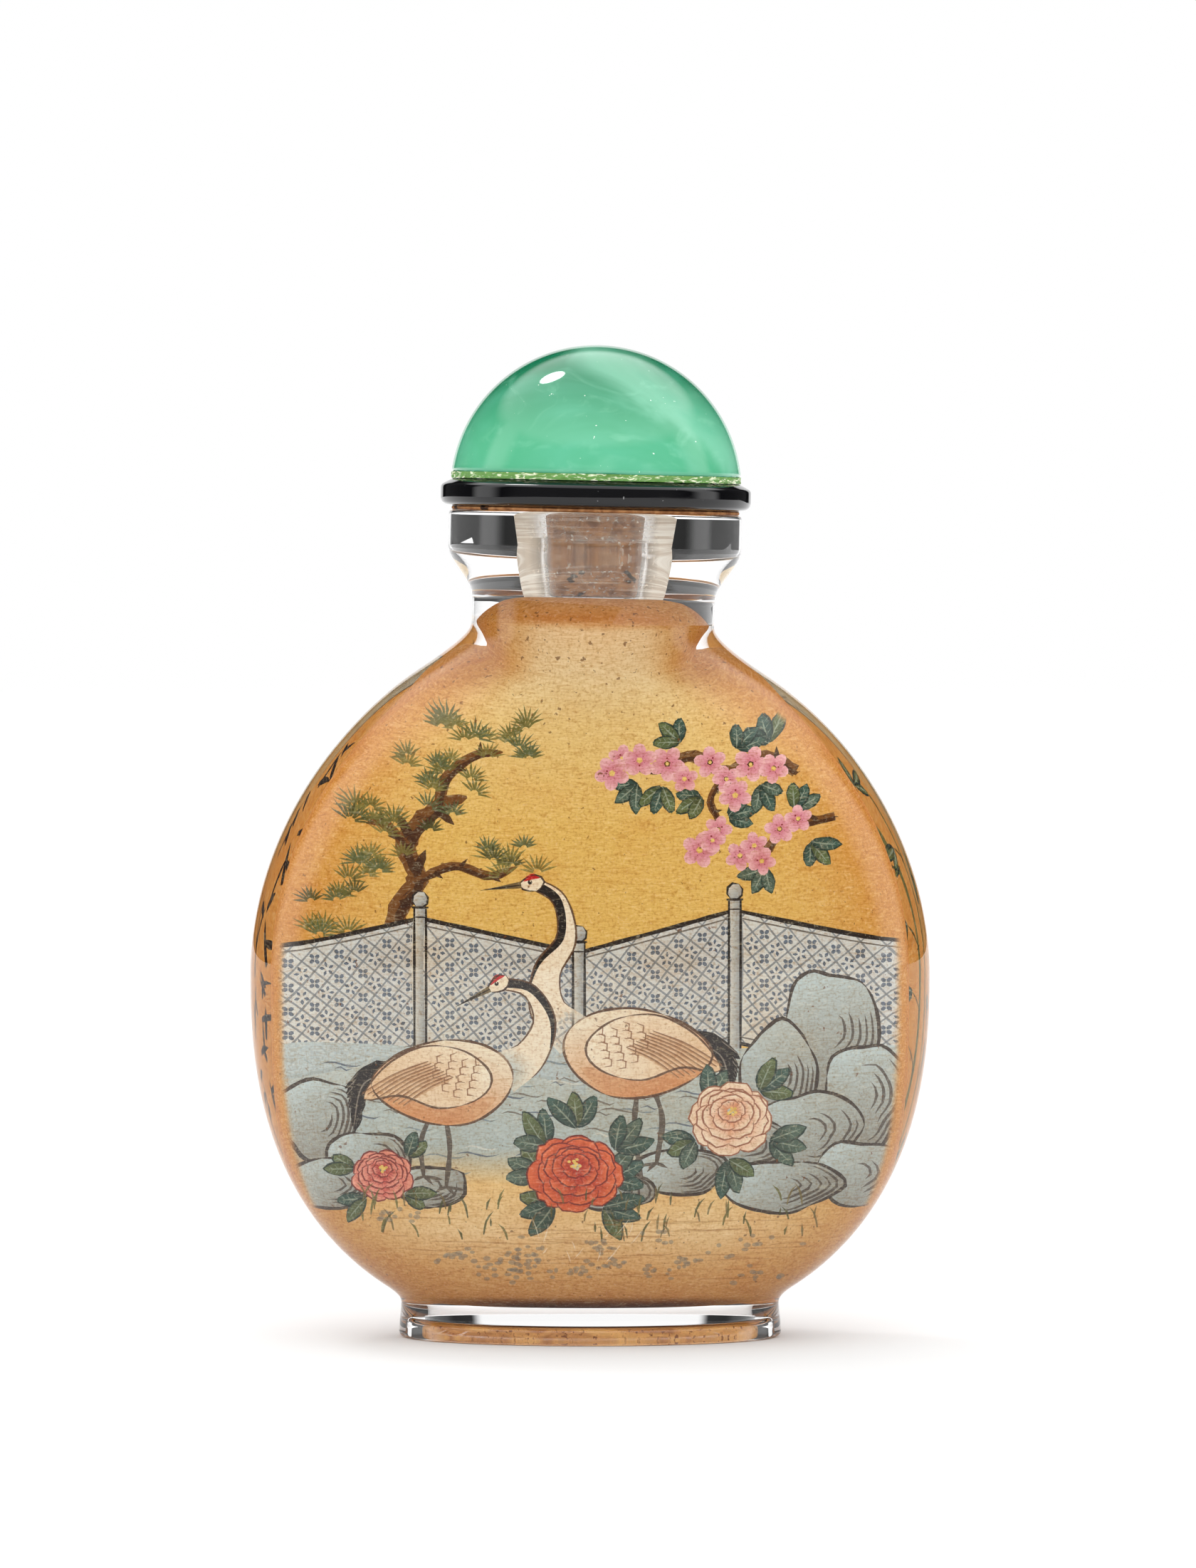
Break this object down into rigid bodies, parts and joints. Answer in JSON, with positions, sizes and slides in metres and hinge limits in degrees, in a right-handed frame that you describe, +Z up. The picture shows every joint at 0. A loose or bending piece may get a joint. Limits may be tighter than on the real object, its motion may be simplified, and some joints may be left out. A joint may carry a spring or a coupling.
{
  "type": "snuff bottle",
  "caption": "Flattened clear glass snuff bottle, painted inside, on an oval foot ring, with a leaning flared neck and a green domed stopper on a black collar.",
  "frame": {"origin": "middle of the foot ring's flat underside, on the table", "axes": "+Z up the bottle, +X across its broad face to the viewer's right, +Y from the painted front face to the back face"},
  "size_m": [0.0512, 0.025, 0.0745],
  "materials": {
    "clear_glass": "polished clear, painted inside",
    "cork": "matt cork",
    "black_glass": "polished black",
    "green_glass": "polished green"
  },
  "bodies": {
    "root": {"bottle": "clear_glass", "stopper_cork": "cork", "stopper_collar": "black_glass", "stopper_dome": "green_glass"}
  },
  "joints": []
}
